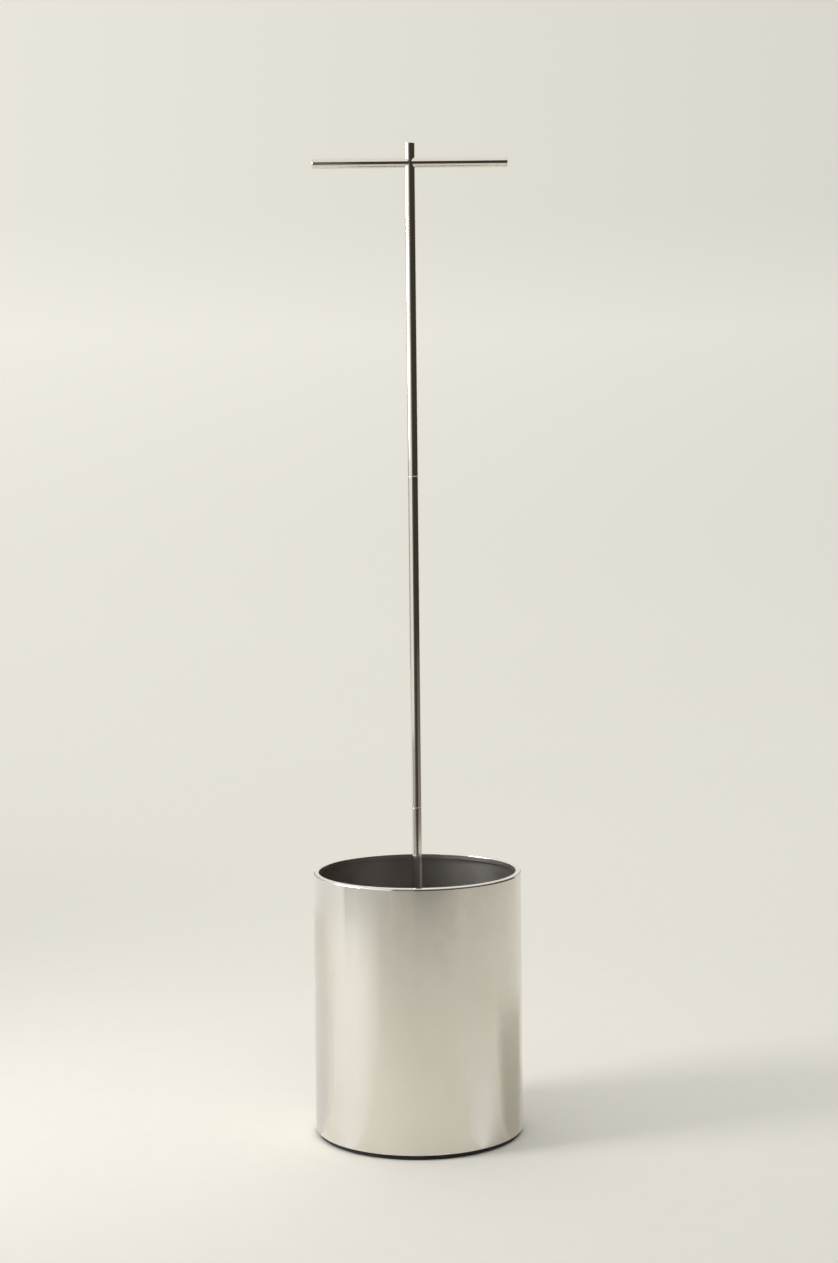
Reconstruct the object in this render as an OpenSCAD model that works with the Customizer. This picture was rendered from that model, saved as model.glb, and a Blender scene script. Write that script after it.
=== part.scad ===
// Umbrella stand: a round steel bin on a weighted base, with a three-section pole
// that stands on the middle of its floor and carries a crossbar for coats and scarves.
// Millimetres, +Z up, origin on the floor under the middle of the bin, crossbar along X.

/* [Bin] */
// Outer diameter of the bin
bin_d = 350; // [320:5:380]
// Height of the bin's rim above the floor
bin_h = 440; // [360:5:500]
// Thickness of the sheet steel
sheet = 0.8; // [0.6:0.1:1.2]
// Width of the rim, which is the wall folded inwards
rim_w = 9; // [7:0.5:12]
// Height of the lip that hangs from the rim's inner edge
lip_h = 8; // [6:0.5:12]
// Outer radius of the fold between wall and rim
fold_r = 3.5; // [2.5:0.5:4]
// Height of the floor pan's upturned edge
pan_h = 12; // [8:1:30]

/* [Base] */
// Thickness of the plastic base plate
plate_t = 6.5; // [3.5:0.5:8]
// How far the base plate's edge stands in from the wall
plate_inset = 4; // [2:0.5:4]
// Thickness of the cast ballast disc
ballast_t = 12; // [12:1:24]
// Height of the rubber feet
foot_h = 1.5; // [1:0.5:4]
// Diameter of the rubber feet
foot_d = 26; // [20:1:34]
// How far the middle of a foot stands in from the wall
foot_inset = 21; // [21:1:30]
// Angle of the first foot from the front, turning to the left
foot_phase = 33; // [0:1:89]

/* [Pole] */
// Outer diameter of the pole's and the crossbar's tube
tube_d = 17; // [16:0.5:19]
// Wall thickness of the tube
tube_t = 1.2; // [1:0.1:1.5]
// Height of the lower joint above the floor
joint_z = 546; // [450:1:650]
// Length of the middle and the upper section
section_l = 558; // [400:1:600]
// Length of the crossbar over its end caps
bar_l = 327; // [240:1:400]
// Distance from the crossbar's axis up to the top of the pole
bar_drop = 33; // [20:1:80]

/* [Hidden] */

// Facets of the large and of the small round shapes
fine = 180;
small = 64;

// Bin
bin_r = bin_d / 2;
lip_r = 1.6;            // outer radius of the fold at the rim's inner edge
hem_r = 2;              // outer radius of the fold at the wall's lower edge
hem_w = 14;             // width of the hem, which the ballast clamps on the base plate
plate_z = foot_h;
hem_z = plate_z + plate_t;
pan_z = hem_z + sheet + ballast_t;
pan_r = bin_r - sheet - 0.3;
pan_bend = 5;           // outer radius of the bend between the pan's floor and edge

// Base
plate_r = bin_r - plate_inset;
ballast_r = bin_r - hem_r - 1;
ballast_step_r = bin_r - hem_w - 0.5;
edge_break = 1;
foot_circle_r = bin_r - foot_inset;
plate_screw_count = 6;
plate_screw_circle_r = bin_r - 55;
plate_screw_r = 2.5;
plate_screw_grip = 6;    // how far a plate screw reaches into the ballast
plate_screw_l = plate_t + plate_screw_grip;
screw_head_r = 4.8;
screw_head_h = 2.4;
stem_r = 3;             // stem of a foot, which is pushed through the base plate
barb_r = 4;
barb_l = 4;
pocket_r = 5;
pocket_h = 5;
foot_r = foot_d / 2;

// Fixing of the pole
bolt_r = 5;             // M10
bolt_hole_r = 5.5;
bolt_l = 35;
head_h = 6.4;
head_r = 17 / 2 / cos(30);
head_bore_r = 13;
head_bore_h = 8;
washer_t = 1.6;
washer_r = 10.5;
washer_z = hem_z + head_bore_h - washer_t;
gasket_t = 1.5;
gasket_z = pan_z + sheet;
pole_foot_r = 22;
pole_foot_h = 5;
pole_foot_z = gasket_z + gasket_t;
spigot_l = 25;
thread_clearance = 0.1;

// Pole
tube_r = tube_d / 2;
bore_r = tube_r - tube_t;
tube_z = pole_foot_z + pole_foot_h;
upper_joint_z = joint_z + section_l;
pole_top = upper_joint_z + section_l;
cap_t = 2;
cap_spigot_l = 10;
groove = tube_t - 0.2;  // chamfer at both ends of a joint, which leaves a fine groove
stud_r = 4;             // M8
stud_l = 18;
plug_l = 22;
socket_l = 30;

// Crossbar
bar_z = pole_top - bar_drop;
half_bar = bar_l / 2;
cope_tip = 2.5;         // the coped end stops this far from the pole's middle plane

// One quarter of a bent sheet in a turned profile, in the quadrant of signs sx and sy
module bend(centre, r, sx, sy) {
    translate(centre)
        intersection() {
            difference() {
                circle(r = r, $fn = small);
                circle(r = r - sheet, $fn = small);
            }
            translate([sx > 0 ? 0 : -r, sy > 0 ? 0 : -r])
                square(r);
        }
}

// A straight stretch of sheet in a turned profile
module strip(x0, x1, y0, y1) {
    translate([x0, y0])
        square([x1 - x0, y1 - y0]);
}

// A round bar with its axis on Z and a chamfer at its lower and its upper edge
module turned(r, z0, z1, low_break = 0, high_break = 0, facets = small) {
    rotate_extrude($fn = facets)
        polygon([
            [0, z0], [r - low_break, z0], [r, z0 + low_break],
            [r, z1 - high_break], [r - high_break, z1], [0, z1]
        ]);
}

// A threaded rod from z0 up to z1, its thread shown as rings
module threaded_rod(r, pitch, z0, z1) {
    rings = floor((z1 - z0 - 1) / pitch);
    root = r - 0.6 * pitch;
    rotate_extrude($fn = small)
        polygon(concat(
            [[0, z0], [root, z0]],
            [for (i = [0:rings - 1], p = [0:2])
                p == 0 ? [root, z0 + 0.5 + i * pitch]
                : p == 1 ? [r, z0 + 0.5 + (i + 0.4) * pitch]
                : [r, z0 + 0.5 + (i + 0.6) * pitch]],
            [[root, z0 + 0.5 + rings * pitch], [root, z1], [0, z1]]
        ));
}

// Copies of its child on a circle, the first one phase degrees left of the front
module around(count, circle_r, phase = 0) {
    for (i = [0:count - 1])
        rotate(i * 360 / count - phase)
            translate([0, -circle_r, 0])
                children();
}

// ---- Bin ----

module bin_shell() {
    color([0.84, 0.83, 0.80])
        rotate_extrude($fn = fine)
            union() {
                strip(bin_r - sheet, bin_r, hem_z + hem_r, bin_h - fold_r);
                bend([bin_r - fold_r, bin_h - fold_r], fold_r, 1, 1);
                strip(bin_r - rim_w + lip_r, bin_r - fold_r, bin_h - sheet, bin_h);
                bend([bin_r - rim_w + lip_r, bin_h - lip_r], lip_r, -1, 1);
                strip(bin_r - rim_w, bin_r - rim_w + sheet, bin_h - lip_h, bin_h - lip_r);
                bend([bin_r - hem_r, hem_z + hem_r], hem_r, 1, -1);
                strip(bin_r - hem_w, bin_r - hem_r, hem_z, hem_z + sheet);
            }
}

module floor_pan() {
    color([0.08, 0.08, 0.08])
        rotate_extrude($fn = fine)
            union() {
                strip(bolt_hole_r, pan_r - pan_bend, pan_z, pan_z + sheet);
                bend([pan_r - pan_bend, pan_z + pan_bend], pan_bend, 1, -1);
                strip(pan_r - sheet, pan_r, pan_z + pan_bend, pan_z + pan_h);
            }
}

// ---- Base ----

module ballast_disc() {
    color([0.22, 0.23, 0.24])
        difference() {
            rotate_extrude($fn = fine)
                polygon([
                    [0, hem_z], [ballast_step_r, hem_z], [ballast_step_r, hem_z + sheet],
                    [ballast_r, hem_z + sheet], [ballast_r, pan_z - edge_break],
                    [ballast_r - edge_break, pan_z], [0, pan_z]
                ]);
            translate([0, 0, hem_z - 1])
                cylinder(r = bolt_hole_r, h = ballast_t + 3, $fn = small);
            translate([0, 0, hem_z - 1])
                cylinder(r = head_bore_r, h = head_bore_h + 1, $fn = small);
            around(plate_screw_count, plate_screw_circle_r)
                translate([0, 0, hem_z - 1])
                    cylinder(r = plate_screw_r, h = plate_screw_grip + 3, $fn = small);
            around(4, foot_circle_r, foot_phase)
                translate([0, 0, hem_z - 1])
                    cylinder(r = pocket_r, h = pocket_h + 1, $fn = small);
        }
}

module base_plate() {
    color([0.05, 0.05, 0.05])
        difference() {
            turned(plate_r, plate_z, hem_z, 0.5, 0.3, fine);
            translate([0, 0, plate_z - 1])
                cylinder(r = head_bore_r, h = plate_t + 2, $fn = small);
            around(plate_screw_count, plate_screw_circle_r) {
                translate([0, 0, plate_z - 1])
                    cylinder(r = plate_screw_r + 0.2, h = plate_t + 2, $fn = small);
                translate([0, 0, plate_z])
                    cylinder(r1 = screw_head_r + 0.1, r2 = plate_screw_r + 0.1,
                             h = screw_head_h, $fn = small);
            }
            around(4, foot_circle_r, foot_phase)
                translate([0, 0, plate_z - 1])
                    cylinder(r = stem_r, h = plate_t + 2, $fn = small);
        }
}

// A countersunk machine screw, head down, with a hexagon socket
module plate_screw() {
    difference() {
        union() {
            translate([0, 0, plate_z])
                cylinder(r1 = screw_head_r, r2 = plate_screw_r - 0.1,
                         h = screw_head_h, $fn = small);
            translate([0, 0, plate_z + screw_head_h])
                cylinder(r = plate_screw_r - 0.1, h = plate_screw_l - screw_head_h, $fn = small);
        }
        translate([0, 0, plate_z - 1])
            cylinder(r = 1.75, h = 2.8, $fn = 6);
    }
}

module base_screws() {
    color([0.72, 0.73, 0.74])
        around(plate_screw_count, plate_screw_circle_r)
            plate_screw();
}

// A rubber foot: a pad under the base plate, with a barbed stem through it
module foot(index) {
    color([0.04, 0.04, 0.04])
        rotate(index * 90 - foot_phase)
            translate([0, -foot_circle_r, 0])
                rotate_extrude($fn = small)
                    polygon([
                        [0, 0], [foot_r - 0.8, 0], [foot_r, 0.8], [foot_r, plate_z],
                        [stem_r, plate_z], [stem_r, hem_z], [barb_r, hem_z],
                        [barb_r, hem_z + 1], [barb_r / 2, hem_z + barb_l], [0, hem_z + barb_l]
                    ]);
}

// ---- Fixing of the pole ----

module pole_bolt() {
    color([0.72, 0.73, 0.74])
        union() {
            translate([0, 0, washer_z - head_h])
                cylinder(r = head_r, h = head_h, $fn = 6);
            threaded_rod(bolt_r, 1.5, washer_z, washer_z + bolt_l);
        }
}

module bolt_washer() {
    color([0.72, 0.73, 0.74])
        difference() {
            turned(washer_r, washer_z, washer_z + washer_t, 0.2, 0.2);
            translate([0, 0, washer_z - 1])
                cylinder(r = bolt_r + 0.25, h = washer_t + 2, $fn = small);
        }
}

module pole_gasket() {
    color([0.03, 0.03, 0.03])
        difference() {
            turned(pole_foot_r, gasket_z, pole_foot_z, 0.3, 0.3);
            translate([0, 0, gasket_z - 1])
                cylinder(r = bolt_hole_r, h = gasket_t + 2, $fn = small);
        }
}

module pole_foot() {
    color([0.80, 0.80, 0.79])
        difference() {
            union() {
                turned(pole_foot_r, pole_foot_z, tube_z, 0.3, 1);
                turned(bore_r, tube_z - 1, tube_z + spigot_l, 0, 1);
            }
            translate([0, 0, pole_foot_z - 1])
                cylinder(r = bolt_r + thread_clearance, h = pole_foot_h + spigot_l + 2, $fn = small);
        }
}

// ---- Pole ----

// A tube on Z, chamfered at the ends that meet another section
module tube(z0, z1, low_break, high_break) {
    rotate_extrude($fn = small)
        polygon([
            [bore_r, z0], [tube_r - low_break, z0], [tube_r, z0 + low_break],
            [tube_r, z1 - high_break], [tube_r - high_break, z1], [bore_r, z1]
        ]);
}

// The threaded socket in the upper end of a section that ends at z
module joint_socket(z) {
    color([0.78, 0.66, 0.40])
        difference() {
            turned(bore_r, z - socket_l, z, 0.8, 0);
            translate([0, 0, z - socket_l - 1])
                cylinder(r = stud_r + thread_clearance, h = socket_l + 2, $fn = small);
        }
}

// The plug in the lower end of the section that starts at z, with its threaded stud
module joint_stud(z) {
    color([0.78, 0.66, 0.40])
        union() {
            turned(bore_r, z, z + plug_l, 0, 0.8);
            threaded_rod(stud_r, 1.25, z - stud_l, z);
        }
}

module lower_tube() {
    color([0.86, 0.86, 0.85])
        tube(tube_z, joint_z, 0, groove);
}

module lower_joint_socket() {
    joint_socket(joint_z);
}

module middle_joint_stud() {
    joint_stud(joint_z);
}

module middle_tube() {
    color([0.86, 0.86, 0.85])
        tube(joint_z, upper_joint_z, groove, groove);
}

module middle_joint_socket() {
    joint_socket(upper_joint_z);
}

module upper_joint_stud() {
    joint_stud(upper_joint_z);
}

module upper_tube() {
    color([0.86, 0.86, 0.85])
        tube(upper_joint_z, pole_top - cap_t, groove, 0);
}

// A cap that closes a tube's end at z: a disc as wide as the tube, on a spigot
module end_cap(z) {
    color([0.86, 0.86, 0.85])
        union() {
            turned(tube_r, z - cap_t, z, 0, 0.6);
            turned(bore_r, z - cap_t - cap_spigot_l, z - cap_t + 0.5, 0.8, 0);
        }
}

module top_cap() {
    end_cap(pole_top);
}

// ---- Crossbar ----

// Turns a shape that stands on Z so that it points along X, at the crossbar's height
module along_bar(side) {
    translate([0, 0, bar_z])
        rotate([0, side * 90, 0])
            children();
}

// One half of the crossbar: a tube whose inner end is coped to fit round the pole
module crossbar_half(side) {
    color([0.86, 0.86, 0.85])
        difference() {
            along_bar(side)
                tube(cope_tip, half_bar - cap_t, 0, 0);
            translate([0, 0, bar_z - 2 * tube_r])
                cylinder(r = tube_r, h = 4 * tube_r, $fn = small);
        }
}

module crossbar_left() {
    crossbar_half(-1);
}

module crossbar_right() {
    crossbar_half(1);
}

module crossbar_cap_left() {
    along_bar(-1)
        end_cap(half_bar);
}

module crossbar_cap_right() {
    along_bar(1)
        end_cap(half_bar);
}

bin_shell();
floor_pan();
ballast_disc();
base_plate();
base_screws();
foot(0);  // foot_front_left
foot(1);  // foot_front_right
foot(2);  // foot_back_right
foot(3);  // foot_back_left
pole_bolt();
bolt_washer();
pole_gasket();
pole_foot();
lower_tube();
lower_joint_socket();
middle_joint_stud();
middle_tube();
middle_joint_socket();
upper_joint_stud();
upper_tube();
top_cap();
crossbar_left();
crossbar_right();
crossbar_cap_left();
crossbar_cap_right();
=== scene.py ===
import math

import bpy
from mathutils import Matrix, Vector, noise


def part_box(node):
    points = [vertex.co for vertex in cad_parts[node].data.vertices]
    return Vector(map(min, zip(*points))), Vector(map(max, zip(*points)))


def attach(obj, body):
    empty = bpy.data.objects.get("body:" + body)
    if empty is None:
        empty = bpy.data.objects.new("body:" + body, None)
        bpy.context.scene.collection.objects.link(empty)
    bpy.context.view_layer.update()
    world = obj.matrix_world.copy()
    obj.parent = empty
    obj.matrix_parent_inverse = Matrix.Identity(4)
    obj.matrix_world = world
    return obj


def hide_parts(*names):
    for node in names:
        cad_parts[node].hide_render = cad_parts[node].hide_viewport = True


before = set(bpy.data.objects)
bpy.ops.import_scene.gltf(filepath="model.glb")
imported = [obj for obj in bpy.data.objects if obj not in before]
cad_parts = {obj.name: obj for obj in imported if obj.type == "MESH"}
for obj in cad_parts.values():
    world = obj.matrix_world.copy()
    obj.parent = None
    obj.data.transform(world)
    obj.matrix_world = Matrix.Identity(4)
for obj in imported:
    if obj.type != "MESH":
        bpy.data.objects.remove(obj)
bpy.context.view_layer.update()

# ---- Sizes in metres: what the frame gives, and the finer detail that only the looks have ----

MM = 0.001
TAU = 2 * math.pi

bin_low, bin_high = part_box("bin_shell")
pan_low, pan_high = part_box("floor_pan")
plate_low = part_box("base_plate")[0]
tube_low, tube_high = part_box("lower_tube")
middle_low, middle_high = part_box("middle_tube")
upper_low, upper_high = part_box("upper_tube")
cap_low, cap_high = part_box("top_cap")
bar_low, bar_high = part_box("crossbar_right")
bar_cap_low, bar_cap_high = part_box("crossbar_cap_right")
flange_low, flange_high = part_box("pole_foot")
gasket_low, gasket_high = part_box("pole_gasket")

BIN_R = bin_high.x
SHEET = 0.8 * MM
RIM_W = 9 * MM
LIP_H = 8 * MM
FOLD_R = 3.5 * MM     # outer radius of the rim's outer fold
LIP_R = 1.0 * MM      # outer radius of its inner fold
HEM_R = 1.2 * MM
HEM_W = 14 * MM
WALL, INSIDE, FOLDS = range(3)   # the bin's material slots

SEAM_AZIMUTH = math.radians(180 - 22.5)   # from the front, turning to the left
PEAK_H = 0.6 * MM     # how far the wall stands in at its weld, where the sheet's ends stay flat
PEAK_W = 14 * MM      # how quickly that fades beside the weld
WAVE_H = 0.035 * MM   # height of the sheet's waves
TRUE_H = 12 * MM      # the wall stays true this close to the rim and to the hem
EASE_H = 60 * MM      # height over which it then goes out of true

TUBE_R = tube_high.x
TUBE_T = 1.2 * MM
BORE_R = TUBE_R - TUBE_T
BAR_Z = (bar_low.z + bar_high.z) / 2

ROUND = 256      # segments round the bin
TUBE_ROUND = 96  # segments round a tube


# ---- Outlines and directions ----

def direction(azimuth):
    """The way out from the pole at an azimuth that is counted from the front, turning to the left."""
    return Vector((-math.sin(azimuth), -math.cos(azimuth), 0))


def azimuth_of(v):
    """The azimuth of a point round the pole."""
    return math.atan2(-v.x, -v.y)


def ramp(value):
    """The value, held between 0 and 1."""
    return min(max(value, 0), 1)


def arc(centre, radius, start, end, steps=12):
    """Points on an arc, from one angle to another, in degrees."""
    angles = [math.radians(start + (end - start) * i / steps) for i in range(steps + 1)]
    return [(centre[0] + radius * math.cos(a), centre[1] + radius * math.sin(a)) for a in angles]


def supported(points, margin=0.25 * MM, longest=25 * MM):
    """The closed outline with a point close to both ends of each long stretch, and more between them,
    so that a rounded edge doesn't bend the shading of the flat beside it."""
    full = []
    for i, start in enumerate(points):
        end = points[(i + 1) % len(points)]
        length = math.dist(start, end)
        full.append(start)
        if length < 4 * margin:
            continue
        steps = max(1, math.ceil(length / longest))
        stops = [margin / length] + [k / steps for k in range(1, steps)] + [1 - margin / length]
        full += [(start[0] + (end[0] - start[0]) * t, start[1] + (end[1] - start[1]) * t) for t in stops]
    return full


# ---- Meshes ----

def make_object(name, verts, faces, materials, face_slots=None, sharp=35):
    """A smooth-shaded mesh object. face_slots gives the material slot of each face."""
    mesh = bpy.data.meshes.new(name)
    mesh.from_pydata(verts, [], faces)
    mesh.validate()
    for material in materials:
        mesh.materials.append(material)
    mesh.polygons.foreach_set("use_smooth", [True] * len(mesh.polygons))
    if face_slots:
        mesh.polygons.foreach_set("material_index", face_slots)
    mesh.update()
    mesh.set_sharp_from_angle(angle=math.radians(sharp))
    piece = bpy.data.objects.new(name, mesh)
    bpy.context.scene.collection.objects.link(piece)
    return piece


def turned(outline, segments):
    """Vertices and faces of a closed outline of (radius, height) points turned about Z. A point on the
    axis is one vertex, so its faces are triangles."""
    verts, rings = [], []
    for radius, height in outline:
        if radius == 0:
            rings.append([len(verts)] * segments)
            verts.append(Vector((0, 0, height)))
            continue
        rings.append(list(range(len(verts), len(verts) + segments)))
        for i in range(segments):
            turn = TAU * i / segments
            verts.append(Vector((radius * math.sin(turn), -radius * math.cos(turn), height)))
    faces = []
    for k, low in enumerate(rings):
        high = rings[(k + 1) % len(rings)]
        for i in range(segments):
            j = (i + 1) % segments
            corners = [low[i], low[j], high[j], high[i]]
            face = [c for n, c in enumerate(corners) if c != corners[n - 1]]
            if len(face) > 2:
                faces.append(face)
    return verts, faces


def lathe(name, outline, materials, segments=TUBE_ROUND, slot_of=None, place=None, sharp=35):
    """A turned piece. slot_of picks a face's material slot from its middle, place moves the vertices."""
    verts, faces = turned(supported(outline), segments)
    slots = None
    if slot_of:
        slots = [slot_of(sum((verts[v] for v in face), Vector()) / len(face)) for face in faces]
    if place:
        verts = [place @ v for v in verts]
    return make_object(name, verts, faces, materials, slots, sharp)


def add_piece(piece, slot, *nodes):
    """Rides the piece on the stand and hides the CAD nodes that it stands for. slot is not used."""
    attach(piece, "root")
    if nodes:
        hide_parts(*nodes)


# ---- Materials ----

class Nodes:
    """A material and its node tree, built one node at a time round its Principled shader."""

    def __init__(self, name):
        self.material = bpy.data.materials.new(name)
        self.material.use_nodes = True
        self.tree = self.material.node_tree
        self.shader = self.tree.nodes["Principled BSDF"]
        self.place = self.tree.nodes.new("ShaderNodeTexCoord").outputs["Object"]

    def add(self, kind, links=None, values=None, **settings):
        """Adds a node: sources and fixed values for its inputs, and its own settings."""
        node = self.tree.nodes.new("ShaderNode" + kind)
        for key, value in settings.items():
            setattr(node, key, value)
        for socket, value in (values or {}).items():
            node.inputs[socket].default_value = value
        for socket, source in (links or {}).items():
            self.tree.links.new(source, node.inputs[socket])
        return node

    def noise(self, scale, detail=3.0, stretch=(1, 1, 1), roughness=0.5):
        """Noise from 0 to 1 over the piece, scale in features per metre."""
        mapped = self.add("Mapping", {"Vector": self.place}, {"Scale": stretch}).outputs[0]
        values = {"Scale": scale, "Detail": detail, "Roughness": roughness}
        return self.add("TexNoise", {"Vector": mapped}, values).outputs["Fac"]

    def spread(self, source, low, high, from_low=0.3, from_high=0.7):
        """Maps a socket's range, from from_low to from_high, onto the range from low to high."""
        values = {"From Min": from_low, "From Max": from_high, "To Min": low, "To Max": high}
        return self.add("MapRange", {"Value": source}, values).outputs[0]

    def blend(self, factor, first, second):
        """Mixes two colours by a factor from 0 to 1."""
        node = self.add("Mix", data_type="RGBA")
        self.tree.links.new(factor, node.inputs["Factor"])
        node.inputs["A"].default_value = (*first, 1)
        node.inputs["B"].default_value = (*second, 1)
        return node.outputs["Result"]

    def total(self, first, second):
        """The sum of two sockets."""
        return self.add("Math", {0: first, 1: second}, operation="ADD").outputs[0]

    def product(self, first, second):
        """The product of two sockets."""
        return self.add("Math", {0: first, 1: second}, operation="MULTIPLY").outputs[0]

    def vector(self, operation, first, second=None, output="Vector"):
        """Vector maths on a socket, for some operations with a fixed second vector."""
        values = None if second is None else {1: second}
        return self.add("VectorMath", {0: first}, values, operation=operation).outputs[output]

    def bump(self, height, strength, distance, normal=None):
        """The surface's normal over a relief, on top of the normal that is given."""
        links = {"Height": height}
        if normal:
            links["Normal"] = normal
        return self.add("Bump", links, {"Strength": strength, "Distance": distance}).outputs[0]

    def shade(self, links=None, **values):
        """Sets the shader: links by socket name, and fixed values on the shader's own sockets."""
        for socket, value in values.items():
            self.shader.inputs[socket.replace("_", " ")].default_value = value
        for socket, source in (links or {}).items():
            self.tree.links.new(source, self.shader.inputs[socket])
        return self.material

    def lamp(self, glow, colour, cover=None):
        """A black surface without gloss that only glows. cover, where it is given, is its alpha."""
        links = {"Emission Strength": glow}
        if cover:
            links["Alpha"] = cover
        return self.shade(links, Base_Color=(0, 0, 0, 1), Roughness=1.0, Specular_IOR_Level=0.0,
                          Emission_Color=(*colour, 1))


def polished_steel(name, axis="Z", along=(1, 1, 0.02), light=(0.785, 0.76, 0.703),
                   deep=(0.755, 0.725, 0.663), gloss=(0.10, 0.125)):
    """Mirror-polished steel with cloudy patches, faint smears and fine marks along the axis. It draws
    every reflection out along the axis. gloss is the roughness of its clean parts and of its smears."""
    n = Nodes(name)
    clouds = n.noise(9, 4)
    smears = n.noise(38, 5, roughness=0.65)
    marks = n.noise(900, 2, stretch=along)
    waves = n.noise(11, 1)
    colour = n.blend(n.spread(clouds, 0, 1), light, deep)
    haze = n.total(n.spread(smears, *gloss, 0.45, 0.8), n.spread(marks, 0, 0.012))
    normal = n.bump(marks, 0.05, 0.02 * MM, n.bump(waves, 0.1, 0.35 * MM))
    tangent = n.add("Tangent", direction_type="RADIAL", axis=axis).outputs[0]
    return n.shade({"Base Color": colour, "Roughness": haze, "Normal": normal, "Tangent": tangent},
                   Metallic=1.0, Anisotropic=1.0, Anisotropic_Rotation=0.25)


def mill_steel(name):
    """The satin mill finish inside the bin: rolled grain round the wall, with faint upright streaks and
    dull, cloudy patches."""
    n = Nodes(name)
    grain = n.noise(500, 3, stretch=(0.05, 0.05, 1))
    clouds = n.noise(14, 4)
    streaks = n.noise(30, 3, stretch=(1, 1, 0.12))
    colour = n.blend(n.spread(clouds, 0, 1), (0.47, 0.445, 0.425), (0.40, 0.378, 0.36))
    rough = n.total(n.spread(grain, 0.33, 0.36), n.spread(streaks, 0, 0.05))
    normal = n.bump(grain, 0.05, 0.01 * MM)
    return n.shade({"Base Color": colour, "Roughness": rough, "Normal": normal}, Metallic=1.0)


def powder_coat(name):
    """Black powder coating with its fine orange peel."""
    n = Nodes(name)
    peel = n.noise(700, 2)
    dust = n.noise(60, 6, roughness=0.7)
    colour = n.blend(n.spread(dust, 0, 1, 0.5, 0.8), (0.012, 0.012, 0.012), (0.035, 0.033, 0.031))
    return n.shade({"Base Color": colour, "Roughness": n.spread(dust, 0.42, 0.62),
                    "Normal": n.bump(peel, 0.5, 0.08 * MM)})


def moulded_plastic(name):
    """Black moulded plastic with a fine spark-eroded grain and scuffed high spots."""
    n = Nodes(name)
    grain = n.noise(1400, 2)
    scuffs = n.noise(90, 6, roughness=0.7)
    colour = n.blend(n.spread(scuffs, 0, 1, 0.5, 0.8), (0.013, 0.013, 0.014), (0.03, 0.03, 0.03))
    return n.shade({"Base Color": colour, "Roughness": n.spread(scuffs, 0.5, 0.68),
                    "Normal": n.bump(grain, 0.4, 0.05 * MM)})


def rubber(name):
    """Matt black rubber, a little dusty."""
    n = Nodes(name)
    grain = n.noise(900, 3)
    dust = n.noise(120, 5, roughness=0.7)
    colour = n.blend(n.spread(dust, 0, 1, 0.45, 0.8), (0.012, 0.012, 0.012), (0.045, 0.043, 0.04))
    return n.shade({"Base Color": colour, "Roughness": n.spread(dust, 0.68, 0.88),
                    "Normal": n.bump(grain, 0.5, 0.08 * MM)})


def cast_iron(name):
    """Sand-cast iron: pitted, with rust in the hollows."""
    n = Nodes(name)
    sand = n.noise(420, 6, roughness=0.7)
    rust = n.noise(55, 5, roughness=0.65)
    colour = n.blend(n.spread(rust, 0, 1, 0.55, 0.75), (0.10, 0.10, 0.105), (0.16, 0.085, 0.05))
    return n.shade({"Base Color": colour, "Roughness": n.spread(sand, 0.55, 0.8),
                    "Normal": n.bump(sand, 0.8, 0.25 * MM)}, Metallic=0.85)


def zinc_plate(name):
    """Zinc-plated steel: a soft blue-grey sheen with a fine crystalline mottle."""
    n = Nodes(name)
    mottle = n.noise(350, 4, roughness=0.7)
    colour = n.blend(n.spread(mottle, 0, 1), (0.66, 0.67, 0.69), (0.54, 0.55, 0.58))
    return n.shade({"Base Color": colour, "Roughness": n.spread(mottle, 0.28, 0.42),
                    "Normal": n.bump(mottle, 0.2, 0.03 * MM)}, Metallic=1.0)


def turned_brass(name):
    """Brass turned on a lathe: fine rings and a slight tarnish."""
    n = Nodes(name)
    rings = n.noise(1500, 2, stretch=(0.03, 0.03, 1))
    tarnish = n.noise(180, 4)
    colour = n.blend(n.spread(tarnish, 0, 1), (0.78, 0.60, 0.30), (0.60, 0.43, 0.20))
    return n.shade({"Base Color": colour, "Roughness": n.spread(rings, 0.2, 0.34),
                    "Normal": n.bump(rings, 0.3, 0.03 * MM)}, Metallic=1.0)


steel_sheet = polished_steel("polished_sheet_steel")
# painted highlight: the folds of the rim and the hem get a lighter copy of the polished steel, so they
# shine brighter than the wall of the same sheet
steel_folds_painted_bright = polished_steel("fold_steel_painted_bright", light=(0.93, 0.915, 0.875), deep=(0.89, 0.87, 0.83),
                             gloss=(0.02, 0.035))
steel_tube = polished_steel("polished_pole_steel", gloss=(0.04, 0.065))
steel_bar = polished_steel("polished_bar_steel", axis="X", along=(0.02, 1, 1), gloss=(0.04, 0.065))
steel_inside = mill_steel("mill_finish_steel")
coating = powder_coat("black_powder_coating")
plastic = moulded_plastic("black_moulded_plastic")
feet_rubber = rubber("black_rubber")
iron = cast_iron("sand_cast_iron")
zinc = zinc_plate("zinc_plated_steel")
brass = turned_brass("turned_brass")

CAD_MATERIALS = {
    "ballast_disc": iron,
    "base_plate": plastic,
    "base_screws": zinc,
    "pole_bolt": zinc,
    "bolt_washer": zinc,
    "lower_joint_socket": brass,
    "middle_joint_socket": brass,
    "middle_joint_stud": zinc,
    "upper_joint_stud": zinc,
}


def dress_cad_nodes():
    """Gives each CAD node that stays its own procedural material."""
    for name, material in CAD_MATERIALS.items():
        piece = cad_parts[name]
        for slot in piece.material_slots:
            slot.material = material


# ---- The bin ----

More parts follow.
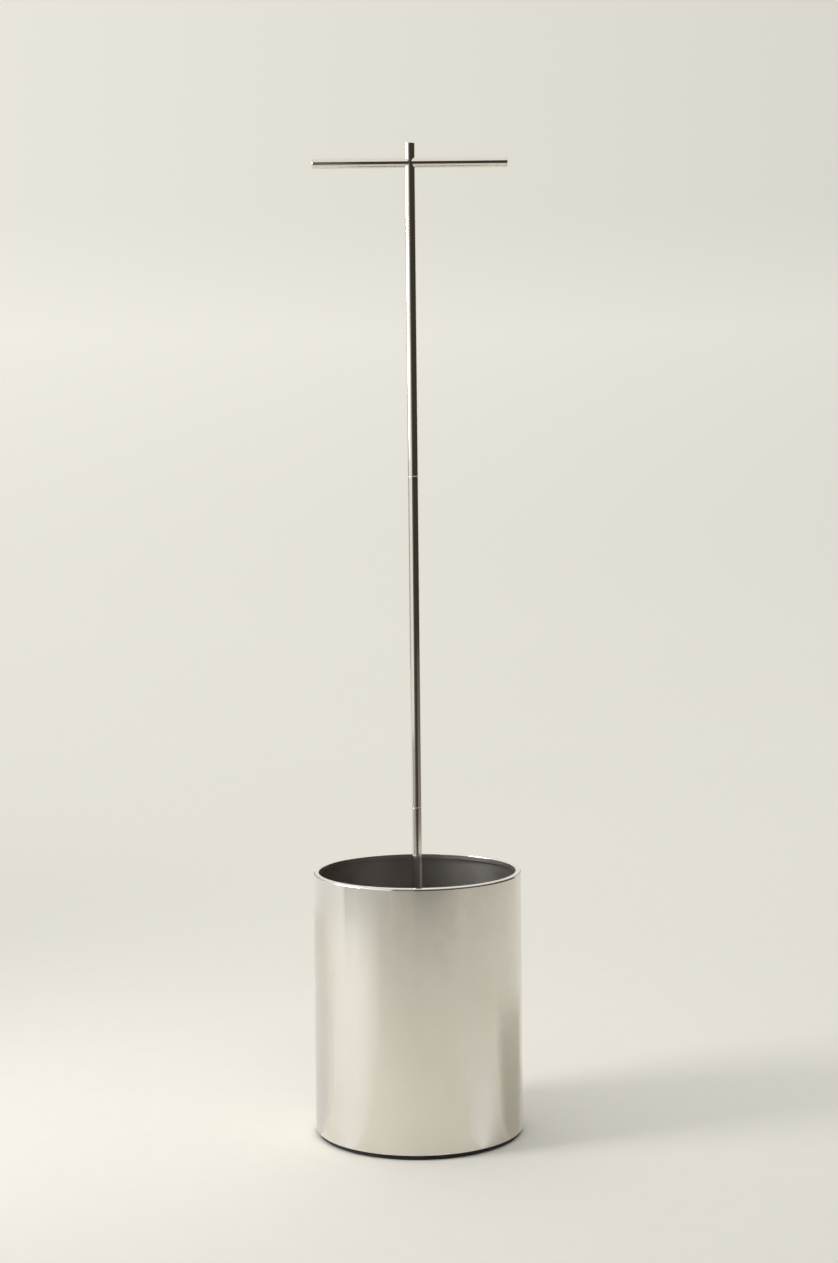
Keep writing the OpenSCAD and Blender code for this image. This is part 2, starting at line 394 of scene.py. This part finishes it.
def shell_outline():
    """The bin's sheet in section: wall, folded rim with its lip, and the hem that the base clamps."""
    top, bottom = bin_high.z, bin_low.z
    fold = (BIN_R - FOLD_R, top - FOLD_R)
    lip = (BIN_R - RIM_W + LIP_R, top - LIP_R)
    hem = (BIN_R - HEM_R, bottom + HEM_R)
    lip_end = (BIN_R - RIM_W + SHEET / 2, top - LIP_H + SHEET / 2)
    hem_end = (BIN_R - HEM_W + SHEET / 2, bottom + SHEET / 2)
    outside = arc(hem, HEM_R, -90, 0) + arc(fold, FOLD_R, 0, 90, 20) + arc(lip, LIP_R, 90, 180)
    lip_edge = arc(lip_end, SHEET / 2, 180, 360, 8)
    inside = (arc(lip, LIP_R - SHEET, 180, 90, 8) + arc(fold, FOLD_R - SHEET, 90, 0)
              + arc(hem, HEM_R - SHEET, 0, -90))
    hem_edge = arc(hem_end, SHEET / 2, 90, 270, 8)
    return outside + lip_edge + inside + hem_edge


def seam_peak(v):
    """How far the rolled sheet stands in from a true round at a point near its weld."""
    away = abs(math.remainder(azimuth_of(v) - SEAM_AZIMUTH, TAU)) * BIN_R
    return PEAK_H * math.exp(-away / PEAK_W)


def wall_wave(v):
    """The sheet's slight waves, some 110 mm across and 200 mm high."""
    return WAVE_H * noise.noise(Vector((v.x * 9, v.y * 9, v.z * 5)))


def shape_wall(piece):
    """Bends the wall a little out of true, and leaves the rim and the hem as they are."""
    top, bottom = bin_high.z - TRUE_H, bin_low.z + TRUE_H
    for vertex in piece.data.vertices:
        v = vertex.co
        share = ramp((top - v.z) / EASE_H) * ramp((v.z - bottom) / EASE_H)
        if share == 0:
            continue
        radial = Vector((v.x, v.y, 0)).normalized()
        vertex.co = v + radial * share * (wall_wave(v) - seam_peak(v))
    piece.data.update()


def bin_slot(middle):
    """The slot of a face with this middle: the inside of the sheet with the rim's lip, the folds of the
    rim and the hem, or the wall between them."""
    radius = math.hypot(middle.x, middle.y)
    under_rim = bin_high.z - SHEET - 0.05 * MM
    if radius < BIN_R - SHEET / 2 and middle.z < under_rim:
        return INSIDE
    return FOLDS if middle.z > bin_high.z - FOLD_R or middle.z < bin_low.z + HEM_R else WALL


def make_bin():
    """The shell and the bead of its weld."""
    finishes = [steel_sheet, steel_inside, steel_folds_painted_bright]   # in the order of the slots
    shell = lathe("bin_wall", shell_outline(), finishes, ROUND, bin_slot, sharp=50)
    shape_wall(shell)
    add_piece(shell, "polished_sheet", "bin_shell")
    add_piece(make_seam(), "polished_sheet")


def make_seam():
    """The weld's bead inside the wall: low, slightly uneven, from the pan up to the rim. Its back is
    sunk into the sheet."""
    low, high = pan_high.z + 1 * MM, bin_high.z - 5 * MM
    rows, across = 160, 6
    half, crown = 1.3 * MM, 0.28 * MM
    edge_sunk, back_sunk = 0.03 * MM, 0.25 * MM
    top = bin_high.z - TRUE_H
    verts, faces = [], []
    for k in range(rows + 1):
        z = low + (high - low) * k / rows
        # regular ripples and uneven ones along the bead
        ripple = 1 + 0.25 * math.sin(z / (0.9 * MM)) + 0.3 * noise.noise(Vector((0, 0, z * 160)))
        on_wall = Vector((0, 0, z)) + direction(SEAM_AZIMUTH) * (BIN_R - SHEET)
        wall = BIN_R - SHEET - seam_peak(on_wall) * ramp((top - z) / EASE_H)
        for i in range(across + 1):
            side = i / across * 2 - 1
            proud = crown * ripple * (1 - side * side)
            angle = SEAM_AZIMUTH + side * half * (1 + 0.15 * ripple) / BIN_R
            verts.append(direction(angle) * (wall - proud + edge_sunk) + Vector((0, 0, z)))
        for i in range(across + 1):
            side = i / across * 2 - 1
            angle = SEAM_AZIMUTH + side * half / BIN_R
            verts.append(direction(angle) * (wall + back_sunk) + Vector((0, 0, z)))
    ring = 2 * (across + 1)
    loop = list(range(across + 1)) + list(range(ring - 1, across, -1))
    for k in range(rows):
        for n, i in enumerate(loop):
            j = loop[(n + 1) % ring]
            faces.append([k * ring + i, k * ring + j, (k + 1) * ring + j, (k + 1) * ring + i])
    faces.append(loop[::-1])
    faces.append([rows * ring + i for i in loop])
    return make_object("bin_weld_seam", verts, faces, [steel_inside], sharp=60)


def make_pan():
    """The drip pan: a disc with an upturned edge and a hole for the pole's bolt."""
    bend = 5 * MM
    outer = pan_high.x
    low, high = pan_low.z, pan_high.z
    hole = 5.5 * MM
    corner = (outer - bend, low + bend)
    edge = (outer - SHEET / 2, high - SHEET / 2)
    outline = ([(hole, low)] + arc(corner, bend, -90, 0) + arc(edge, SHEET / 2, 0, 180, 8)
               + arc(corner, bend - SHEET, 0, -90) + [(hole, low + SHEET)])
    pan = lathe("drip_pan", outline, [coating], ROUND)
    add_piece(pan, "black_coating", "floor_pan")


# ---- The base ----

def make_feet():
    """Low rubber feet with a rounded edge and a hollow in the sole, on barbed stems through the plate."""
    hollow = 0.4 * MM
    edge, break_r = 0.6 * MM, 0.3 * MM
    stem, barb, tip = 3 * MM, 4 * MM, 2 * MM
    for node in ("foot_front_left", "foot_front_right", "foot_back_right", "foot_back_left"):
        low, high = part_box(node)
        centre = (low + high) / 2
        radius = (high.x - low.x) / 2
        top = plate_low.z
        outline = ([(0, hollow), (radius * 0.45, hollow), (radius * 0.5, 0)]
                   + arc((radius - edge, edge), edge, -90, 0, 6)
                   + arc((radius - break_r, top - break_r), break_r, 0, 90, 4)
                   + [(stem, top), (stem, bin_low.z), (barb, bin_low.z), (barb, bin_low.z + 1 * MM),
                      (tip, high.z), (0, high.z)])
        piece = lathe(node.replace("foot", "pad"), outline, [feet_rubber], TUBE_ROUND, sharp=40,
                      place=Matrix.Translation((centre.x, centre.y, 0)))
        add_piece(piece, "black_rubber", node)


def make_pole_foot():
    """The turned flange with its spigot in the lowest tube, and the rubber seal under it."""
    hole, seal_hole = 5.1 * MM, 5.5 * MM
    low_edge, high_edge, chamfer = 0.4 * MM, 1.5 * MM, 1 * MM
    seal_inset = 0.2 * MM
    radius, low, high = flange_high.x, flange_low.z, flange_high.z
    top = tube_low.z
    outline = ([(hole, low)] + arc((radius - low_edge, low + low_edge), low_edge, -90, 0, 6)
               + arc((radius - high_edge, top - high_edge), high_edge, 0, 90, 12)
               + [(BORE_R, top), (BORE_R, high - chamfer), (BORE_R - chamfer, high), (hole, high)])
    add_piece(lathe("pole_flange", outline, [steel_tube]), "polished_tube", "pole_foot")
    low, high = gasket_low.z, gasket_high.z
    bulge = arc((radius - seal_inset, (low + high) / 2), (high - low) / 2, -90, 90, 8)
    outline = [(seal_hole, low)] + bulge + [(seal_hole, high)]
    add_piece(lathe("pole_seal", outline, [feet_rubber]), "black_rubber", "pole_gasket")


# ---- The pole and the crossbar ----

def tube_outline(low, high, low_round, high_round):
    """A tube in section. low_round and high_round are the radii of its outer edges, or 0."""
    start, end = [(TUBE_R, low)], [(TUBE_R, high)]
    if low_round:
        start = arc((TUBE_R - low_round, low + low_round), low_round, -90, 0, 8)
    if high_round:
        end = arc((TUBE_R - high_round, high - high_round), high_round, 0, 90, 8)
    return [(BORE_R, low)] + start + end + [(BORE_R, high)]


def cap_outline(inner, outer):
    """An end cap from its spigot's end up to its rounded face, which is very slightly domed."""
    disc = outer - 2 * MM   # where the disc over the tube's end starts
    edge, chamfer, dome = 0.6 * MM, 0.8 * MM, 0.12 * MM
    shares = [1 - k / 8 for k in range(1, 9)]
    face = [(TUBE_R * share, outer - dome + dome * (1 - share ** 2)) for share in shares]
    spigot = [(0, inner), (BORE_R - chamfer, inner), (BORE_R, inner + chamfer), (BORE_R, disc)]
    return spigot + [(TUBE_R, disc)] + arc((TUBE_R - edge, outer - dome - edge), edge, 0, 90, 8) + face


def make_pole():
    """The three sections of the pole and its cap."""
    lower_end, upper_end = 1.1 * MM, 0.7 * MM   # the rounded ends that meet at a joint
    sections = (
        ("pole_lower", "lower_tube", tube_low, tube_high, 0, upper_end),
        ("pole_middle", "middle_tube", middle_low, middle_high, lower_end, upper_end),
        ("pole_upper", "upper_tube", upper_low, upper_high, lower_end, 0),
    )
    for name, node, low, high, low_round, high_round in sections:
        outline = tube_outline(low.z, high.z, low_round, high_round)
        add_piece(lathe(name, outline, [steel_tube]), "polished_tube", node)
    cap = lathe("pole_cap", cap_outline(cap_low.z, cap_high.z), [steel_tube])
    add_piece(cap, "polished_tube", "top_cap")


def bar_frame(side):
    """Takes a piece that is turned about Z to the crossbar's height, pointing out to one side."""
    return Matrix.Translation((0, 0, BAR_Z)) @ Matrix.Rotation(side * math.pi / 2, 4, "Y")


def make_bar_half(side, name, node):
    """A tube whose inner end is coped to the pole: each line along it starts where it meets the pole."""
    out = bar_high.x
    near = 0.25 * MM   # a point this close to each end keeps the shading flat
    parts = 10
    verts, faces = [], []

    def line(radius, angle):
        across, up = radius * math.cos(angle), radius * math.sin(angle)
        start = math.sqrt(max(TUBE_R ** 2 - across ** 2, 0))
        reach = out - start
        between = [start + reach * k / parts for k in range(1, parts)]
        stops = [start, start + near] + between + [out - near, out]
        return [Vector((side * x, across, BAR_Z + up)) for x in stops]

    for radius in (TUBE_R, BORE_R):
        for i in range(TUBE_ROUND):
            verts += line(radius, TAU * i / TUBE_ROUND)
    count = len(verts) // (2 * TUBE_ROUND)
    inner = count * TUBE_ROUND
    for i in range(TUBE_ROUND):
        a, b = i * count, (i + 1) % TUBE_ROUND * count
        for k in range(count - 1):
            faces.append([a + k, b + k, b + k + 1, a + k + 1][::side])
            faces.append([inner + a + k, inner + b + k, inner + b + k + 1, inner + a + k + 1][::-side])
        last = count - 1
        faces.append([inner + a, inner + b, b, a][::side])
        faces.append([inner + a + last, inner + b + last, b + last, a + last][::-side])
    add_piece(make_object(name, verts, faces, [steel_bar], sharp=40), "polished_tube", node)


def make_fillet(side, name):
    """The polished weld between pole and crossbar: a concave strip along the line where they meet. Its
    back is sunk under that line."""
    width, depth, across = 1.6 * MM, 0.35 * MM, 6
    fill, proud = 0.02 * MM, 0.03 * MM
    count = 2 * TUBE_ROUND
    verts, faces = [], []
    for i in range(count):
        t = TAU * (i + 0.5) / count
        meet = Vector((side * TUBE_R * abs(math.sin(t)), TUBE_R * math.cos(t), TUBE_R * math.sin(t)))
        on_bar = meet + Vector((side * width, 0, 0))
        up = math.copysign(width, math.sin(t))
        on_pole = meet + Vector((0, 0, up))
        normal_bar = Vector((0, meet.y, meet.z)).normalized()
        normal_pole = Vector((meet.x, meet.y, 0)).normalized()
        out = (normal_bar + normal_pole).normalized()
        sunk = meet - out * depth
        for k in range(across + 1):
            s = k / across
            curve = on_pole * (1 - s) ** 2 + (meet + out * fill) * 2 * s * (1 - s) + on_bar * s * s
            verts.append(curve + out * proud + Vector((0, 0, BAR_Z)))
        verts.append(sunk + Vector((0, 0, BAR_Z)))
    ring = across + 2
    for i in range(count):
        a, b = i * ring, (i + 1) % count * ring
        for k in range(ring):
            n = (k + 1) % ring
            faces.append([a + k, b + k, b + n, a + n][::side])
    add_piece(make_object(name, verts, faces, [steel_bar], sharp=60), "polished_tube")


def make_crossbar():
    """Both halves of the crossbar with their caps and welds."""
    for side, word in ((-1, "left"), (1, "right")):
        make_bar_half(side, "bar_" + word, "crossbar_" + word)
        outline = cap_outline(bar_cap_low.x, bar_cap_high.x)
        cap = lathe("bar_cap_" + word, outline, [steel_bar], place=bar_frame(side))
        add_piece(cap, "polished_tube", "crossbar_cap_" + word)
        make_fillet(side, "bar_weld_" + word)


# ---- Camera, stage and light ----

LENS = 60
EYE = Vector((0.0086, -3.54, 1.0555))
PITCH = 1.364      # degrees down
ROLL = 0.6         # degrees, the camera leans to its right
SHIFT_Y = -0.0602


def make_camera():
    """The camera of the photograph, fitted to the rim and the lower edge of the bin."""
    data = bpy.data.cameras.new("camera")
    data.lens = LENS
    data.sensor_width = 36
    data.shift_y = SHIFT_Y
    data.clip_end = 100
    camera = bpy.data.objects.new("camera", data)
    aim = Matrix.Rotation(math.radians(90 - PITCH), 4, "X") @ Matrix.Rotation(math.radians(-ROLL), 4, "Z")
    camera.matrix_world = Matrix.Translation(EYE) @ aim
    bpy.context.scene.collection.objects.link(camera)
    bpy.context.scene.camera = camera


COVE_RINGS = (0, 0.5, 1.5, 3)   # radii of the floor's rings of points
COVE_FLAT = 5.0                 # radius of the flat floor
COVE_BEND = 2.6                 # radius of the bend up into the wall
COVE_TOP = 7.0
COVE_ROUND = 96                 # segments round the cove

PAPER = (0.80, 0.787, 0.738)
PAPER_GLOW = (1.03, 1.0, 0.90)
SKY_GLOW = 0.91                 # radiance of the scrim overhead
SKY_COLOUR = (1.0, 0.985, 0.945)
SKY_LOW, SKY_HIGH = 15, 35      # elevations in degrees between which the scrim fades in
LAMP_COLOUR = (1.0, 0.975, 0.95)
KEY_AZIMUTH = 72.5              # degrees to the left
KEY_DISTANCE = 2.7
KEY_HEIGHT = 1.7


def paper_material():
    """Matt studio paper with a painted glow: its emission stands in for lamps behind it and lights its
    outer floor and its wall, more on the left.
    """
    n = Nodes("studio_paper")
    split = n.add("SeparateXYZ", {"Vector": n.place}).outputs
    radius = n.vector("LENGTH", n.place, output="Value")
    # painted glow: brighter out over the floor, up the wall and towards the left
    floor_glow = n.spread(radius, 0.0, 0.19, from_low=0.6, from_high=6.5)
    wall_glow = n.spread(split["Z"], 0.0, 0.33, from_low=0.0, from_high=1.95)
    side = n.spread(split["X"], 1.22, 0.94, from_low=-3.0, from_high=3.0)
    glow = n.product(n.total(floor_glow, wall_glow), side)
    fibres = n.noise(25, 4)
    colour = n.blend(n.spread(fibres, 0, 1), PAPER, tuple(c * 0.985 for c in PAPER))
    return n.shade({"Base Color": colour, "Emission Strength": glow}, Roughness=0.95,
                   Specular_IOR_Level=0.0, Emission_Color=(*PAPER_GLOW, 1))


def make_cove():
    """The paper: a flat floor that bends up into a wall all round the stand."""
    bend = arc((COVE_FLAT, COVE_BEND), COVE_BEND, -90, 0, 24)
    wall_top = (COVE_FLAT + COVE_BEND, COVE_TOP)
    verts, faces = turned([(radius, 0) for radius in COVE_RINGS] + bend + [wall_top], COVE_ROUND)
    faces = faces[:-COVE_ROUND]   # without the row that would close the outline
    cove = make_object("studio_cove", verts, faces, [paper_material()])
    cove.visible_diffuse = False


def make_sky():
    """A large scrim overhead, which fades out towards the horizon."""
    world = bpy.data.worlds.new("studio")
    world.use_nodes = True
    nodes, links = world.node_tree.nodes, world.node_tree.links
    split = nodes.new("ShaderNodeSeparateXYZ")
    links.new(nodes.new("ShaderNodeTexCoord").outputs["Generated"], split.inputs[0])
    fade = nodes.new("ShaderNodeMapRange")
    fade.interpolation_type = "SMOOTHSTEP"
    fade.inputs["From Min"].default_value = math.sin(math.radians(SKY_LOW))
    fade.inputs["From Max"].default_value = math.sin(math.radians(SKY_HIGH))
    fade.inputs["To Max"].default_value = SKY_GLOW
    links.new(split.outputs["Z"], fade.inputs["Value"])
    links.new(fade.outputs[0], nodes["Background"].inputs["Strength"])
    nodes["Background"].inputs["Color"].default_value = (*SKY_COLOUR, 1)
    bpy.context.scene.world = world


def make_light(name, place, target, size, power, spread):
    """An area light that no camera and no reflection sees."""
    data = bpy.data.lights.new(name, "AREA")
    data.shape = "RECTANGLE"
    data.size, data.size_y = size
    data.energy = power
    data.spread = math.radians(spread)
    data.color = LAMP_COLOUR
    light = bpy.data.objects.new(name, data)
    light.location = place
    light.rotation_mode = "QUATERNION"
    light.rotation_quaternion = (Vector(target) - Vector(place)).to_track_quat("-Z", "Y")
    light.visible_camera = False
    light.visible_glossy = False
    bpy.context.scene.collection.objects.link(light)


def make_card(name, pairs, material):
    """A strip from one pair of points to the next. Only reflections see it: it lights nothing, shades
    nothing and no camera sees it."""
    verts = [point for pair in pairs for point in pair]
    faces = [[2 * i, 2 * i + 2, 2 * i + 3, 2 * i + 1] for i in range(len(pairs) - 1)]
    card = make_object(name, verts, faces, [material])
    card.visible_camera = False
    card.visible_diffuse = False
    card.visible_shadow = False
    card.visible_transmission = False
    card.visible_volume_scatter = False


def standing_card(name, line, low, high, radiance, low_share):
    """A card that stands along a line of floor points. Its glow goes from low_share of the radiance at
    its lower edge to all of it at its upper edge."""
    n = Nodes(name)
    height = n.add("SeparateXYZ", {"Vector": n.place}).outputs["Z"]
    share = n.spread(height, low_share, 1.0, from_low=low, from_high=high)
    material = n.lamp(share, radiance)
    make_card(name, [[point + Vector((0, 0, z)) for z in (low, high)] for point in line], material)


def curved_card(name, radius, start, end, low, high, radiance, low_share=1.0):
    """A standing card round the stand from azimuth start to end, in degrees."""
    steps = 32
    turns = [math.radians(start + (end - start) * i / steps) for i in range(steps + 1)]
    standing_card(name, [direction(turn) * radius for turn in turns], low, high, radiance, low_share)


def straight_card(name, distance, facing, start, end, low, high, radiance):
    """A straight standing card, square to the azimuth facing, seen from azimuth start to end."""
    line = []
    for azimuth in (start, end):
        reach = distance / math.cos(math.radians(azimuth - facing))
        line.append(direction(math.radians(azimuth)) * reach)
    standing_card(name, line, low, high, radiance, 1.0)


def floor_patch(name, azimuth, core, reach, radii, glows, colour, height):
    """A painted reflection of a patch of floor, lit or in shadow, as the bin mirrors it to the front.
    Seen from the spot on the wall that mirrors it, it is whole within core degrees of its azimuth and
    fades out at reach degrees. Its glow goes from the first of glows to the second outwards, and it fades
    out over its last fifth."""
    near, far = radii
    fade = 0.8 * far
    steps = 72
    middle = math.radians(azimuth)
    n = Nodes(name)
    distance = n.vector("LENGTH", n.place, output="Value")
    heading = n.vector("NORMALIZE", n.vector("SUBTRACT", n.place, direction(middle / 2) * BIN_R))
    facing = n.vector("DOT_PRODUCT", heading, direction(middle), output="Value")
    side = n.spread(facing, 0, 1, math.cos(math.radians(reach)), math.cos(math.radians(core)))
    cover = n.product(side, n.spread(distance, 1, 0, fade, far))
    material = n.lamp(n.spread(distance, *glows, near, fade), colour, cover)
    turns = [direction(TAU * i / steps) for i in range(steps + 1)]
    up = Vector((0, 0, height))
    make_card(name, [[turn * radius + up for radius in radii] for turn in turns], material)


def make_lights():
    """The softboxes: the key at the left, a weak one in front and one overhead behind the stand."""
    key = direction(math.radians(KEY_AZIMUTH)) * KEY_DISTANCE
    make_light("key_softbox", place=(key.x, key.y, KEY_HEIGHT), target=(-0.1, 0.3, 0.2),
               size=(1.05, 1.05), power=8.2, spread=70)
    make_light("front_fill", place=(0.5, -2.6, 2.4), target=(0.1, -0.2, 0), size=(1.4, 1.4),
               power=1.0, spread=70)
    make_light("top_softbox", place=(-0.4, 2.6, 3.4), target=(-0.4, 2.6, 0), size=(3.2, 2.4),
               power=12, spread=140)


def make_cards():
    """What the steel mirrors. Azimuths are in degrees from the front, turning to the left."""
    # the dark side of the studio, in front and at the right
    dark = (0.05, 0.042, 0.034)
    straight_card("front_edge", distance=2.56, facing=-8, start=28, end=4, low=0.0, high=3.0,
                  radiance=(0.16, 0.145, 0.125))
    straight_card("dark_front", distance=2.56, facing=-8, start=4, end=-44, low=0.0, high=3.0,
                  radiance=dark)
    curved_card("dark_right", radius=3.16, start=-44, end=-134, low=0.35, high=3.26, radiance=dark)
    curved_card("dim_right", radius=3.14, start=-44, end=-134, low=0.0, high=0.6,
                radiance=(0.10, 0.09, 0.08), low_share=3.0)
    # the bright side at the left
    curved_card("left_softbox", radius=2.9, start=28, end=87, low=0.35, high=3.4,
                radiance=(1.12, 1.10, 1.05), low_share=0.8)
    curved_card("left_skirt", radius=2.9, start=28, end=87, low=0.0, high=0.35,
                radiance=(0.45, 0.44, 0.42))
    curved_card("left_lamp", radius=2.85, start=70, end=102, low=1.2, high=2.4,
                radiance=(38, 37.4, 38.2), low_share=0.02)
    curved_card("left_panel", radius=2.0, start=86, end=160, low=0.0, high=0.5,
                radiance=(0.88, 0.865, 0.84))
    # painted reflections of the floor, of its shadow and of its lit parts, each patch on a height of its
    # own
    floor_patch("shadow_patch", azimuth=-124, core=16, reach=32, radii=(0.18, 1.1), glows=(0.42, 0.53),
                colour=(1.0, 0.953, 0.82), height=3 * MM)
    floor_patch("bright_patch", azimuth=83, core=8, reach=46, radii=(0.18, 2.6), glows=(0.965, 1.09),
                colour=(1.0, 0.98, 0.94), height=2 * MM)
    floor_patch("shade_patch", azimuth=150, core=20, reach=50, radii=(0.18, 1.4), glows=(0.76, 0.80),
                colour=(1.0, 0.98, 0.93), height=4 * MM)
    floor_patch("right_patch", azimuth=-72, core=8, reach=28, radii=(0.18, 0.7), glows=(0.80, 0.77),
                colour=(1.0, 0.98, 0.935), height=5 * MM)
    # a low flat at the left, and the flats behind
    curved_card("left_low", radius=2.15, start=28, end=84, low=0.0, high=0.12,
                radiance=(0.47, 0.45, 0.42))
    curved_card("grey_flat", radius=3.4, start=100, end=168, low=0.52, high=1.1,
                radiance=(0.52, 0.50, 0.47))
    curved_card("pale_flat", radius=3.4, start=100, end=168, low=1.1, high=2.6,
                radiance=(0.95, 0.93, 0.88), low_share=0.55)


def make_studio():
    """Paper, sky, lights and cards, with colours shown as they are."""
    make_cove()
    make_sky()
    bpy.context.scene.view_settings.view_transform = "Standard"
    make_lights()
    make_cards()


dress_cad_nodes()
make_bin()
make_pan()
make_feet()
make_pole_foot()
make_pole()
make_crossbar()
make_camera()
make_studio()
